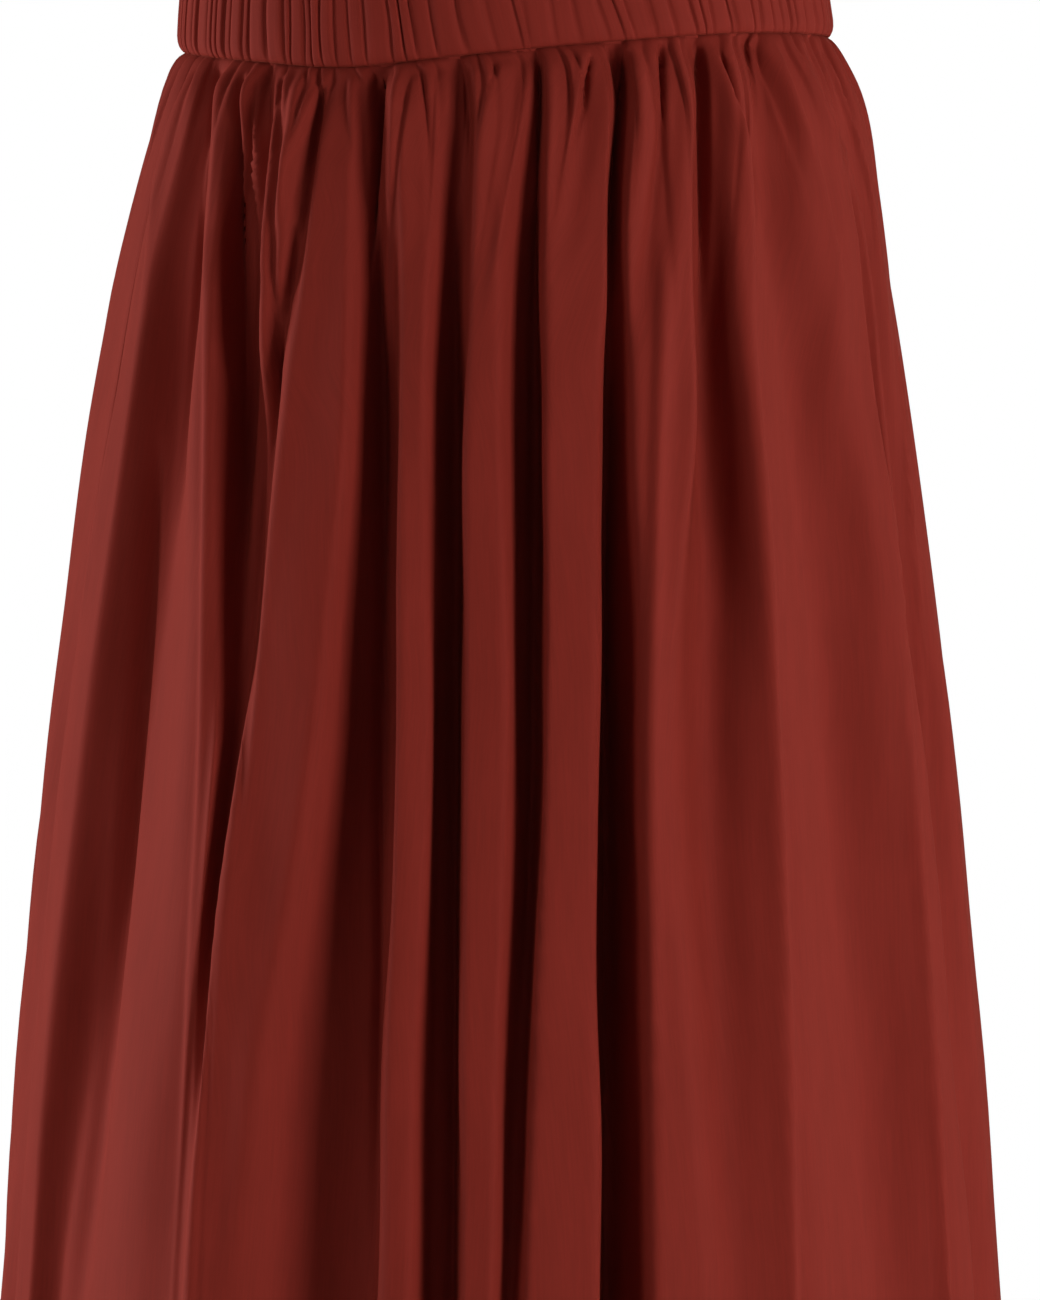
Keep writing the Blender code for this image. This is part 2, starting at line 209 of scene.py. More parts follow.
LEFT_SEAM_ACROSS = (-132, -150, -164, -183, -203)
LEFT_SEAM_DEPTH = (1, 2, 3, 4, 4)
SideFold = namedtuple("SideFold", "width depth lean")
RIGHT_SIDE_FOLDS = (
    SideFold(width=19, depth=9, lean=-0.1),
    SideFold(width=15, depth=6, lean=0.2),
)
BACK_FOLDS = (
    SideFold(width=15, depth=12, lean=-0.5),
    SideFold(width=18, depth=19, lean=-0.9),
    SideFold(width=14, depth=15, lean=-0.3),
    SideFold(width=20, depth=24, lean=-0.8),
    SideFold(width=13, depth=14, lean=0.1),
    SideFold(width=17, depth=26, lean=0.0),
    SideFold(width=19, depth=17, lean=0.7),
    SideFold(width=14, depth=21, lean=0.3),
    SideFold(width=18, depth=14, lean=0.9),
    SideFold(width=15, depth=18, lean=0.4),
    SideFold(width=11, depth=4, lean=-0.2),
)
SIDE_DEPTH_SHARES = (0.25, 0.6, 0.85, 1.0, 1.0)
TOP_REACH = 0.28
TOP_HALF_WIDTH = 0.11
RUN_ON = 0.5
HEM_DEEPENING = 1.08
Line = namedtuple("Line", "degrees depth")


def with_hem(degrees, depth):
    """A fold line over all levels, with the hem as a last one."""
    degrees = list(degrees) + [degrees[-1] + RUN_ON * (degrees[-1] - degrees[-2])]
    return Line(degrees, list(depth) + [depth[-1] * HEM_DEEPENING])


def front_line(across, depth):
    rings = [Ring(below) for below in FOLD_LEVELS]
    return with_hem([ring.degrees_of_across(x) for ring, x in zip(rings, across)], depth)


def side_lines(folds, start):
    """Lines of the side or back folds in order, from the valley that ends the fold before them."""
    lines = []
    level = np.ones(len(FOLD_LEVELS))
    for fold in folds:
        top = start + fold.width * (0.5 + TOP_REACH * fold.lean)
        reach = fold.width * TOP_HALF_WIDTH
        start = start + fold.width
        lines.append(with_hem((top - reach) * level, 0 * level))
        lines.append(with_hem((top + reach) * level, 0 * level))
        lines.append(with_hem(start * level, fold.depth * np.array(SIDE_DEPTH_SHARES)))
    return lines


def fold_lines():
    """Left shoulder, right shoulder and valley of every fold in turn, after the left side seam."""
    seam = front_line(LEFT_SEAM_ACROSS, LEFT_SEAM_DEPTH)
    lines = [seam]
    levels = np.array(FOLD_LEVELS) / FOLD_LEVELS[-1]
    for fold in FRONT_FOLDS:
        sunk = fold.sunk * levels
        lines += [front_line(fold.left, sunk), front_line(fold.right, sunk)]
        lines.append(front_line(fold.valley, fold.depth))
    right_side = side_lines(RIGHT_SIDE_FOLDS, np.array(lines[-1].degrees[:-1]))
    back = side_lines(BACK_FOLDS, np.array(right_side[-1].degrees[:-1]))
    back[-1] = Line([degrees + 360 for degrees in seam.degrees], seam.depth)
    return lines + right_side + back


FOLD_LINES = fold_lines()
FOLDS_A_PANEL = len(BACK_FOLDS)
print(len(FOLD_LINES) // 3, "big folds,", FOLDS_A_PANEL, "on each panel")

# %% [markdown]
# ## Short folds and creases
# Between the big folds the cloth also has short ones, which start in the gathers and die out, and
# narrow creases where it was pressed against itself. Each is a soft ridge or groove along a path of
# three points. The first table gives the larger ones in degrees round the waist. The second one
# gives finer ones where they lie across the front or the back, because that is easier to measure.

# %% Tables of short folds and creases
ShortFold = namedtuple("ShortFold", "start bend end bend_below end_below half_width height")
SHORT_FOLDS = (
    ShortFold(-50, -47, -46, 45, 95, 3, 5),
    ShortFold(-43, -39, -35, 75, 250, 4, 11),
    ShortFold(-38, -36, -33, 60, 145, 4, 8),
    ShortFold(-20, -19, -20, 62, 135, 4, 8),
    ShortFold(3, 1, -3, 50, 115, 4, 3),
    ShortFold(15, 12, 9, 40, 90, 5, -3),
    ShortFold(28, 24, 19, 65, 125, 5, -6),
    ShortFold(38, 41, 42, 25, 60, 4, -3),
    ShortFold(48, 50, 52, 25, 60, 4, -3),
    ShortFold(63, 65, 67, 35, 80, 4, -4),
    ShortFold(121, 120, 118, 60, 130, 5, 6),
    ShortFold(147, 149, 151, 70, 160, 5, 7),
    ShortFold(183, 182, 179, 55, 120, 5, 5),
    ShortFold(209, 210, 213, 65, 150, 5, 7),
    ShortFold(239, 238, 236, 60, 135, 5, 6),
    ShortFold(268, 268, 269, 50, 110, 4, 4),
)
SHORT_FOLD_START = 0.25
SHORT_FOLD_SEWN = 6.0
CREASE_START = 0.06
# A distance across becomes one along the cloth, down to this much facing us, and a crease fades
# out where the cloth turns to the side.
LEAST_FACING = 0.3
FACING_FADE = 4

# Both widths are half widths in mm. A gather pressed over to one side is narrow on that side. On
# the back, "across" is still measured towards the same side as on the front.
Crease = namedtuple("Crease", "side start bend end left_width right_width height")
CREASES = (
    Crease("front", (-128, 6), (-140, 40), (-150, 110), 1.6, 5.0, 2.6),
    Crease("front", (-117, 4), (-125, 85), (-135, 200), 2.2, 2.2, -5.0),
    Crease("front", (-114, 4), (-120, 33), (-126, 110), 1.2, 9.0, 4.5),
    Crease("front", (-107.5, 6), (-109, 85), (-106, 190), 2.2, 2.2, -5.0),
    Crease("front", (-105, 4), (-105, 35), (-109, 95), 1.2, 7.0, 3.5),
    Crease("front", (-100.5, 6), (-100.8, 95), (-106, 215), 1.4, 1.4, -4.0),
    Crease("front", (-98, 4), (-98.5, 95), (-104, 230), 1.4, 4.0, 4.0),
    Crease("front", (-89, 5), (-89, 25), (-90, 48), 1.3, 1.3, -3.5),
    Crease("front", (-86.5, 4), (-87, 25), (-88, 50), 1.3, 4.0, 3.0),
    Crease("front", (-75, 8), (-84.5, 42), (-93, 95), 3.5, 1.4, 4.5),
    Crease("front", (-74, 8), (-78.2, 41), (-86, 110), 1.6, 1.6, -6.0),
    Crease("front", (-71.5, 8), (-75.5, 41), (-84, 120), 1.3, 6.0, 2.5),
    Crease("front", (-62, 4), (-62, 20), (-60, 45), 1.2, 5.0, 2.4),
    Crease("front", (-48.5, 5), (-51, 47), (-56.5, 100), 1.5, 1.5, -6.0),
    Crease("front", (-46, 5), (-49, 48), (-53.5, 100), 1.2, 5.0, 3.5),
    Crease("front", (-36, 6), (-40, 35), (-42, 95), 1.3, 6.0, 3.5),
    Crease("front", (-33, 4), (-31.5, 25), (-31, 50), 1.2, 1.2, -3.0),
    Crease("front", (-26, 5), (-27.5, 45), (-31, 100), 1.4, 6.0, 2.6),
    Crease("front", (-14.3, 4), (-13.4, 37), (-14.3, 100), 1.4, 1.4, -5.0),
    Crease("front", (-11.8, 4), (-11, 40), (-12, 100), 1.2, 6.0, 3.0),
    Crease("front", (0, 4), (-6, 20), (-10, 50), 1.2, 5.0, 2.5),
    Crease("front", (11, 4), (5, 45), (-6, 110), 3.0, 8.0, 3.0),
    Crease("front", (15.4, 4), (15.2, 50), (14.5, 120), 1.5, 1.5, -6.0),
    Crease("front", (17.8, 4), (17.4, 50), (17, 110), 1.2, 5.0, 2.5),
    Crease("front", (33, 3), (29, 31), (22, 80), 2.0, 3.0, 2.6),
    Crease("front", (36.5, 4), (32.5, 27), (26, 52), 1.4, 1.4, -3.5),
    Crease("front", (51.5, 3), (47, 42), (43.7, 130), 1.6, 1.6, -7.0),
    Crease("front", (54, 4), (49.6, 45), (46.2, 130), 1.2, 7.0, 3.5),
    Crease("front", (66, 2), (66.8, 22), (68.5, 42), 1.3, 1.3, -4.0),
    Crease("front", (69, 4), (68, 40), (61, 105), 2.0, 3.5, 3.0),
    Crease("front", (81, 3), (82.3, 45), (82, 120), 1.5, 1.5, -6.0),
    Crease("front", (83.4, 3), (84.6, 45), (84.4, 110), 1.2, 5.0, 2.5),
    Crease("front", (88, 4), (98, 35), (103, 115), 5.0, 1.3, 3.5),
    Crease("front", (91, 6), (100.5, 35), (105.5, 105), 1.2, 1.2, -3.0),
    Crease("front", (101, 4), (111, 25), (126, 65), 4.0, 1.3, 2.6),
    Crease("front", (112, 4), (127, 42), (145, 120), 5.0, 1.3, 3.0),
    Crease("front", (122, 4), (141, 48), (157, 130), 5.0, 1.4, 3.0),
    Crease("front", (132, 6), (149, 45), (158, 95), 3.0, 1.4, 2.4),
    Crease("front", (-144, 160), (-153, 300), (-183, 580), 6.0, 6.0, -7.0),
    Crease("front", (-121, 70), (-123, 270), (-140, 620), 2.0, 5.0, 3.0),
    Crease("front", (-111, 250), (-120, 380), (-133, 700), 5.0, 5.0, 7.0),
    Crease("front", (-84, 70), (-94, 150), (-109, 330), 2.0, 2.0, -8.0),
    Crease("front", (-80, 80), (-105, 275), (-133, 900), 1.6, 6.0, 2.4),
    Crease("front", (-50.5, 60), (-50, 270), (-52, 600), 2.4, 2.4, -6.0),
    Crease("front", (-20, 60), (-19.5, 270), (-23, 900), 2.4, 2.4, -6.0),
    Crease("front", (13.5, 60), (13, 270), (-1, 600), 2.4, 2.4, -6.0),
    Crease("front", (44, 110), (44.5, 270), (43.5, 1000), 3.0, 3.0, -14.0),
    Crease("front", (66, 80), (61.5, 210), (60, 480), 2.4, 5.0, 4.5),
    Crease("front", (101, 90), (111.5, 270), (125, 900), 6.0, 1.8, 4.5),
    Crease("front", (152, 100), (167, 270), (204, 900), 6.0, 1.8, 3.5),
    Crease("front", (164, 120), (172, 225), (176, 330), 3.0, 1.4, 2.4),
    Crease("front", (-31, 150), (-30, 400), (-33, 800), 8.0, 2.5, -4.0),
    Crease("back", (-112, 3), (-118, 40), (-123, 100), 2.2, 2.2, -1.5),
    Crease("back", (-86, 3), (-83, 35), (-85, 90), 2.4, 2.4, 1.5),
    Crease("back", (-60, 3), (-63, 50), (-61, 130), 2.2, 2.2, -1.6),
    Crease("back", (-28, 3), (-24, 30), (-26, 75), 2.2, 2.2, 1.4),
    Crease("back", (6, 3), (9, 45), (7, 110), 2.6, 2.6, -1.6),
    Crease("back", (38, 3), (36, 30), (39, 85), 2.0, 2.0, 1.3),
    Crease("back", (71, 3), (76, 40), (78, 120), 2.4, 2.4, -1.5),
    Crease("back", (100, 3), (104, 30), (110, 70), 2.0, 2.0, -1.4),
    Crease("back", (-40, 240), (-44, 380), (-49, 600), 12.0, 12.0, 2.0),
    Crease("back", (62, 260), (66, 420), (72, 650), 12.0, 12.0, -2.0),
)
print(len(SHORT_FOLDS), "short folds and", len(CREASES), "creases")


# %% Relief of the short folds and creases
def ridge_over(away, left_width, right_width):
    """A ridge, 1 high, with its own half width on either side of its top."""
    return np.exp(-((away / np.where(away < 0, left_width, right_width)) ** 2))


def short_fold_relief(degrees, ring, below):
    """How far the short folds lift the cloth at each place of a ring."""
    relief = np.zeros(len(degrees))
    for fold in SHORT_FOLDS:
        if 0 <= below < fold.end_below:
            places = (0, fold.bend_below, fold.end_below)
            middle = smooth_at(places, (fold.start, fold.bend, fold.end), below)
            away = np.radians((degrees - middle + 180) % 360 - 180) * ring.half.mean()
            run = SHORT_FOLD_START + (1 - SHORT_FOLD_START) * below / fold.end_below
            rise = fold.height * math.sin(math.pi * run)
            relief += rise * ridge_over(away, fold.half_width, fold.half_width)
    return relief * (1 - math.exp(-below / SHORT_FOLD_SEWN))


def crease_relief(points, along, below):
    """How far the creases lift the cloth. They are measured straight across, as seen."""
    relief = np.zeros(len(points))
    for crease in CREASES:
        across, places = zip(crease.start, crease.bend, crease.end)
        if places[0] <= below < places[-1]:
            facing = along[:, 0] if crease.side == "front" else -along[:, 0]
            away = (points[:, 0] - smooth_at(places, across, below)) / np.maximum(facing, LEAST_FACING)
            run = (below - places[0]) / (places[-1] - places[0])
            rise = crease.height * (1 - math.exp(-run / CREASE_START)) * (1 - run * run)
            seen = np.clip(FACING_FADE * facing, 0, 1)
            relief += rise * seen * ridge_over(away, crease.left_width, crease.right_width)
    return relief


for level in (40, 120):
    lift = short_fold_relief(np.arange(360.0), Ring(level), level)
    print(f"{level} mm down the short folds lift the cloth by up to {lift.max():.1f} mm")

# %% [markdown]
# ## The cloth's line at each height
# The fold lines give corner points, and cubic arcs join them. A shoulder bends tightly and a
# valley softly, as in real cloth. Then the line is cut into equal counts of steps. Near the seam
# the steps are even, which the gathers need, and further down they partly follow the folds.

# %% Line of the cloth
SHOULDER_BEND = 2.2
SEWN_FLAT = 0.75
SEWN_FLAT_REACH = 3.5
SEAM_PINCH = 2.6
SEAM_PINCH_REACH = 2.4
EVEN_REACH = 46.0
EVENNESS = 0.7
TOP_STEPS = 11
SLOPE_STEPS = 20
COLUMNS_A_FOLD = TOP_STEPS + 2 * SLOPE_STEPS
PANEL_COLUMNS = COLUMNS_A_FOLD * FOLDS_A_PANEL


def corner_points(below):
    """Places of the fold lines at one height, the directions round the ring there, and depths."""
    ring = Ring(below)
    levels = FOLD_LEVELS + (SKIRT_LENGTH,)
    degrees = np.array([smooth_at(levels, line.degrees, below) for line in FOLD_LINES])
    depth = np.array([smooth_at(levels, line.depth, below) for line in FOLD_LINES])
    depth = depth * (1 - SEWN_FLAT * math.exp(-below / SEWN_FLAT_REACH))
    depth = depth + SEAM_PINCH * math.exp(-below / SEAM_PINCH_REACH)
    return ring, ring.point(degrees, depth), ring.along(degrees), depth


def fold_ring(below):
    """The cloth at one height: points round the skirt, and their degrees."""
    ring, corners, along, depth = corner_points(below)
    curve = []
    for i in range(len(corners) - 1):
        way = corners[i + 1] - corners[i]
        reach = [np.linalg.norm(way)] * 2
        on_top = i % 3 == 1
        if not on_top:
            shoulder = int(depth[i + 1] < depth[i])
            # With this reach the cubic has the shoulder's radius where it leaves the shoulder.
            bend = math.sqrt(6 * SHOULDER_BEND * abs(depth[i + 1] - depth[i]))
            reach[shoulder] = max(bend, way @ along[i])
        steps = TOP_STEPS if on_top else SLOPE_STEPS
        t = np.arange(steps)[:, None] / steps
        curve.append(hermite(corners[i], reach[0] * along[i], corners[i + 1], reach[1] * along[i + 1], t))
    curve = np.vstack(curve + [corners[-1]])
    lengths = np.append(0, np.cumsum(np.linalg.norm(np.diff(curve, axis=0), axis=1)))
    seams = [0, PANEL_COLUMNS, 2 * PANEL_COLUMNS]
    evenly = np.interp(np.arange(len(curve)), seams, lengths[seams])
    evenness = EVENNESS + (1 - EVENNESS) * math.exp(-((below / EVEN_REACH) ** 2))
    places = lengths + evenness * (evenly - lengths)
    points = np.stack([np.interp(places[:-1], lengths, curve[:, axis]) for axis in (0, 1)], axis=-1)
    degrees = ring.degrees_of(points)
    relief = short_fold_relief(degrees, ring, below) + crease_relief(points, ring.along(degrees), below)
    return points + ring.outward(degrees) * relief[:, None], degrees


def outward_of(points):
    along = np.roll(points, -1, axis=0) - np.roll(points, 1, axis=0)
    along = along / np.linalg.norm(along, axis=1, keepdims=True)
    return np.stack([along[:, 1], -along[:, 0]], axis=-1)


def length_round(points, first, last):
    steps = np.linalg.norm(np.diff(points, axis=0, append=points[:1]), axis=1)
    return steps[first:last].sum()


for level in (10, 300, 795):
    line_there, _ = fold_ring(level)
    print(f"{level} mm down, the front panel is {length_round(line_there, 0, PANEL_COLUMNS):.0f} mm wide")

# %% [markdown]
# ## Gathers
# A gathering thread crowds the cloth together at the seam, so it stands in small soft tubes with
# narrow grooves between them. No two are alike: they differ in width, height and length, and lean a
# little. They could be rows of a table, but there are 88 of them, so a seeded random generator draws
# their sizes, always the same ones. Like the big folds, a gather is steep on its left side and
# falls slowly to the right, where it meets the next one in a sharp groove.

# %% Gathers
GATHERS_A_PANEL = 44
GATHER_HEIGHT = 3.0
GATHER_SINK = 0.35
GATHER_LENGTH = 36.0
# Where a whole fold takes up less cloth than this, its gathers are lower.
GATHER_ROOM = 36.0
UNEVENNESS = 0.4
GATHER_CREST = 0.3
GATHER_FALL = 1.6
GATHER_SHIFT = 0.28
GATHER_LEAN = 0.5
SHORTEST_GATHER = 0.6
GATHER_SPREAD = 1.7

gather_random = np.random.default_rng(SEED)
GATHER_SIZES = gather_random.uniform(1 - UNEVENNESS, 1 + UNEVENNESS, (2, 2 * GATHERS_A_PANEL))
GATHER_STARTS = np.arange(2 * GATHERS_A_PANEL) + gather_random.uniform(
    -GATHER_SHIFT, GATHER_SHIFT, 2 * GATHERS_A_PANEL)
GATHER_STARTS[::GATHERS_A_PANEL] = (0, GATHERS_A_PANEL)
GATHER_LEANS = gather_random.uniform(-GATHER_LEAN, GATHER_LEAN, 2 * GATHERS_A_PANEL)
GATHER_LEANS[::GATHERS_A_PANEL] = 0
GATHER_REACHES = SHORTEST_GATHER + GATHER_SPREAD * gather_random.uniform(0, 1, 2 * GATHERS_A_PANEL) ** 2


def gather_shape(share):
    """Height, 0 to 1, of a gather at each share of its width: steep at first, then falling slowly."""
    rise = 1 - (1 - share / GATHER_CREST) ** 2
    fall = 1 - np.clip((share - GATHER_CREST) / (1 - GATHER_CREST), 0, 1) ** GATHER_FALL
    return np.where(share < GATHER_CREST, rise, fall)


def gather_relief(points, facing, below):
    """How far the gathers lift the cloth at each column of the whole ring."""
    starts = GATHER_STARTS + GATHER_LEANS * below / GATHER_LENGTH
    ends = np.append(starts, 2 * GATHERS_A_PANEL)
    place = np.arange(len(points)) / len(points) * 2 * GATHERS_A_PANEL
    gather = np.clip(np.searchsorted(ends, place, side="right") - 1, 0, len(starts) - 1)
    share = np.clip((place - ends[gather]) / (ends[gather + 1] - ends[gather]), 0, 1)
    heights, lengths = GATHER_SIZES[0, gather], GATHER_REACHES[gather]
    apart = np.linalg.norm(np.roll(points, -1, axis=0) - np.roll(points, 1, axis=0), axis=1) / 2
    room = np.minimum(1, apart * COLUMNS_A_FOLD / GATHER_ROOM) * np.maximum(0, facing)
    sewn = 1 - SEWN_FLAT * math.exp(-below / SEWN_FLAT_REACH)
    fade = np.exp(-((below / (GATHER_LENGTH * lengths)) ** 2))
    return GATHER_HEIGHT * heights * (gather_shape(share) - GATHER_SINK) * fade * sewn * room


print(2 * GATHERS_A_PANEL, "gathers, about",
      f"{length_round(fold_ring(2)[0], 0, PANEL_COLUMNS) / GATHERS_A_PANEL:.1f} mm wide at the seam")

# %% [markdown]
# ## The two skirt panels
# Each panel was cut nearly straight: 740 mm wide at the top, 820 to 860 mm at the hem. The grid of
# points runs from inside the waistband, where the raw edge is hidden, down to the hem, which turns
# up 20 mm inside. At the side seams the edge turns back 10 mm inside. A slow, faint unevenness goes
# over all of it, since no woven cloth hangs perfectly smooth. The UV map is the place in the flat
# cut in metres, so that the weave later follows the cloth.

# %% Rows, seam line and unevenness
SEAM_DEGREES = (-90, -50, -30, -10, 12, 40, 90, 150, 210, 270)
SEAM_HEIGHTS = (0, -6, -9, -5, 0, 5, 6, 5, 3, 0)
SEAM_LEVELS_OUT = 150.0
SEAM_GAP = 0.3
ROW_STEPS = ((12, 1.5), (40, 3.0), (100, 5.0), (200, 8.0), (400, 14.0), (795, 20.0))
UNEVEN_WAVES = 14
UNEVEN_HEIGHT = 0.16
WAVE_WIDTHS = (28, 75)
WAVE_LENGTHS = (110, 320)


def seam_height(degrees):
    turned = (np.asarray(degrees) + 90) % 360 - 90
    places = (SEAM_DEGREES[-2] - 360,) + SEAM_DEGREES + (SEAM_DEGREES[1] + 360,)
    heights = (SEAM_HEIGHTS[-2],) + SEAM_HEIGHTS + (SEAM_HEIGHTS[1],)
    return smooth_at(places, heights, turned)


def skirt_rows():
    """How far below the seam each row of points lies."""
    rows = [0.0]
    for end, step in ROW_STEPS:
        count = max(1, round((end - rows[-1]) / step))
        rows += list(np.linspace(rows[-1], end, count + 1)[1:])
    return rows


wave_random = np.random.default_rng(SEED)
WAVES = np.column_stack([
    2 * np.pi / wave_random.uniform(*WAVE_WIDTHS, UNEVEN_WAVES) * wave_random.choice((-1, 1), UNEVEN_WAVES),
    2 * np.pi / wave_random.uniform(*WAVE_LENGTHS, UNEVEN_WAVES),
    wave_random.uniform(0, 2 * np.pi, UNEVEN_WAVES),
])


def unevenness(across_cut, below):
    """A faint slow relief over the flat cloth, in mm."""
    return UNEVEN_HEIGHT * sum(np.sin(a * across_cut + b * below + c) for a, b, c in WAVES)


print(len(skirt_rows()), "rows from the seam to the hem")

# %% Grid of the skirt
PANEL_TOP = 740.0
PANEL_HEMS = (860.0, 820.0)
# The back panel takes its unevenness, and the waistband its streaks, from this far along the cloth.
NEXT_PANEL = 1000.0
CALM_REACH = 60.0
# How far below the seam and how far inside each hidden row at the top lies.
TUCKED_ROWS = ((-6, 2.8), (-3, 2.6), (-1, 2.0))
HEM_ROWS = (0.3, 3, 9, 15, 20)
LAYER_GAP = 1.0
HEM_BEND = 2.0


def turned_inset(distance, bend):
    """How far inside turned cloth lies, at a distance from the edge where it turns."""
    return LAYER_GAP * min(1, (distance + 1) / bend)


def skirt_row(below):
    """Points of the cloth's outer face and its place in the flat cut, for one row round the skirt."""
    points, degrees = fold_ring(below)
    out = outward_of(points)
    facing = (out * Ring(below).outward(degrees)).sum(axis=1)
    share = np.arange(2 * PANEL_COLUMNS) / PANEL_COLUMNS
    across_cut = np.where(share < 1, share, share - 1) * PANEL_TOP + np.floor(share) * NEXT_PANEL
    calm = 1 - math.exp(-below / CALM_REACH)
    relief = gather_relief(points, facing, below) + calm * unevenness(across_cut, below)
    level_out = max(0.0, 1 - below / SEAM_LEVELS_OUT) ** 2
    height = seam_height(degrees) * level_out - max(below, SEAM_GAP / 2)
    return np.column_stack([points + out * relief[:, None], height]), out


def skirt_grid():
    rows = skirt_rows()
    made = [skirt_row(below) for below in rows]
    points = [row for row, _ in made]
    outs = [np.column_stack([out, np.zeros(len(out))]) for _, out in made]
    tucked = [points[0] - outs[0] * inset - (0, 0, below) for below, inset in TUCKED_ROWS]
    turned = []
    for up in HEM_ROWS:
        row = np.interp(SKIRT_LENGTH - up, rows, np.arange(len(rows)))
        low = int(row)
        there = points[low] + (row - low) * (points[min(low + 1, len(rows) - 1)] - points[low])
        turned.append(there - outs[low] * turned_inset(up, HEM_BEND))
    levels = [below for below, _ in TUCKED_ROWS] + rows + [SKIRT_LENGTH + up for up in HEM_ROWS]
    grid = np.array(tucked + points + turned)
    normals = np.array([outs[0]] * len(TUCKED_ROWS) + outs + [outs[-1]] * len(HEM_ROWS))
    return grid, normals, np.array(levels)


GRID, NORMALS, LEVELS = skirt_grid()
print("grid of", GRID.shape[0], "rows and", GRID.shape[1], "columns")

# %% Panels cut from the grid
ALLOWANCE_COLUMNS = (0.4, 2, 5, 8, 10)
ALLOWANCE_BEND = 3.0
SEAM_ROLL = 0.8
SEAM_ROLL_REACH = 1.4
SEWN_CLOSE = 0.04


def panel_of(first, last):
    """The columns from one side seam to the next, with the edges turned back inside."""
    columns = range(first, last + 1)
    panel = np.take(GRID, columns, axis=1, mode="wrap").copy()
    normal = np.take(NORMALS, columns, axis=1, mode="wrap")
    steps = np.linalg.norm(np.diff(panel, axis=1), axis=2)
    along = np.concatenate([np.zeros((len(panel), 1)), np.cumsum(steps, axis=1)], axis=1)
    share = along / along[:, -1:]
    edges = []
    for end in (0, -1):
        distance = along if end == 0 else along[:, -1:] - along
        rolled = SEAM_ROLL * np.exp(-((distance / SEAM_ROLL_REACH) ** 2))
        panel = panel - normal * rolled[..., None]
        back = []
        for reach in ALLOWANCE_COLUMNS:
            at = reach if end == 0 else along[:, -1] - reach
            at = np.broadcast_to(at, len(panel))
            inside = panel - normal * turned_inset(reach, ALLOWANCE_BEND)
            back.append(np.array([
                [np.interp(at[row], along[row], inside[row, :, axis]) for axis in range(3)]
                for row in range(len(panel))
            ]))
        edges.append(back)
    for end, other in ((0, 1), (-1, -2)):
        way = panel[:, other, :2] - panel[:, end, :2]
        panel[:, end, :2] += way / np.linalg.norm(way, axis=1, keepdims=True) * SEWN_CLOSE / 2
    left = [column[:, None] for column in edges[0][::-1]]
    right = [column[:, None] for column in edges[1]]
    return np.concatenate(left + [panel] + right, axis=1), share


def cut_places(share, hem_width):
    """The place of each point in the flat cut, in mm: across from the left edge, and down."""
    width = PANEL_TOP + (hem_width - PANEL_TOP) * np.clip(LEVELS / SKIRT_LENGTH, 0, 1)
    across = share * width[:, None]
    reach = np.array(ALLOWANCE_COLUMNS)
    left = np.broadcast_to(-reach[::-1], (len(across), len(reach)))
    right = width[:, None] + reach
    across = np.concatenate([left, across, right], axis=1)
    return np.stack([across, np.broadcast_to(-LEVELS[:, None], across.shape)], axis=-1)


print("seam allowances of", ALLOWANCE_COLUMNS[-1], "mm and a hem of", HEM_ROWS[-1], "mm")

# %% Panels as cloth
CLOTH_THICKNESS = 0.45


def cloth_piece(name, points, cut, hidden_side=-1.0):
    """A sheet of cloth over a grid of points in mm, with its place in the flat cut as UV map."""
    rows, columns = points.shape[:2]
    index = np.arange(rows * columns).reshape(rows, columns)
    faces = np.stack([index[:-1, :-1], index[1:, :-1], index[1:, 1:], index[:-1, 1:]], axis=-1)
    mesh = bpy.data.meshes.new(name)
    mesh.from_pydata((points.reshape(-1, 3) * MM).tolist(), [], faces.reshape(-1, 4).tolist())
    corners = np.empty(len(mesh.loops), np.int32)
    mesh.loops.foreach_get("vertex_index", corners)
    flat_cut = mesh.uv_layers.new(name="flat_cut")
    flat_cut.uv.foreach_set("vector", (cut.reshape(-1, 2)[corners] * MM).astype(np.float32).ravel())
    mesh.shade_smooth()
    piece = bpy.data.objects.new(name, mesh)
    bpy.context.scene.collection.objects.link(piece)
    thickness = piece.modifiers.new("cloth thickness", "SOLIDIFY")
    thickness.thickness = CLOTH_THICKNESS * MM
    thickness.offset = hidden_side
    return piece


panels = {}
for name, first, last, hem_width in (
    ("front_panel_cloth", 0, PANEL_COLUMNS, PANEL_HEMS[0]),
    ("back_panel_cloth", PANEL_COLUMNS, 2 * PANEL_COLUMNS, PANEL_HEMS[1]),
):
    points, share = panel_of(first, last)
    panels[name] = cloth_piece(name, points, cut_places(share, hem_width))
    print(name, "has", 4 * len(panels[name].data.polygons), "triangles")

# %% [markdown]
# ## The waistband
# The waistband is a casing: one strip folded over its top edge round a flat elastic, 45 mm high.
# It is cut longer than the elastic, so the elastic crowds it into upright puffs, nearly flat with
# narrow grooves between them. A displaced tube could stand for it, but the fold at the top and the
# inner side would be missing. So a profile is swept round the waist: up the outside, over the top
# and down the inside. The puffs lean a little where the elastic turned in its casing.

# %% Waistband sizes
WAISTBAND_HEIGHT = 45.0
INNER_LAYER = 4.0
WAIST_PUFFS_A_SIDE = 54
WAIST_PUFF_HEIGHT = 1.6
PUFF_FLATNESS = 5
PUFF_UNEVENNESS = 0.65
WAIST_PUFF_SLANT = 4.0
PUFF_COLUMNS = 10
BAND_CUT = (500.0, 95.0)
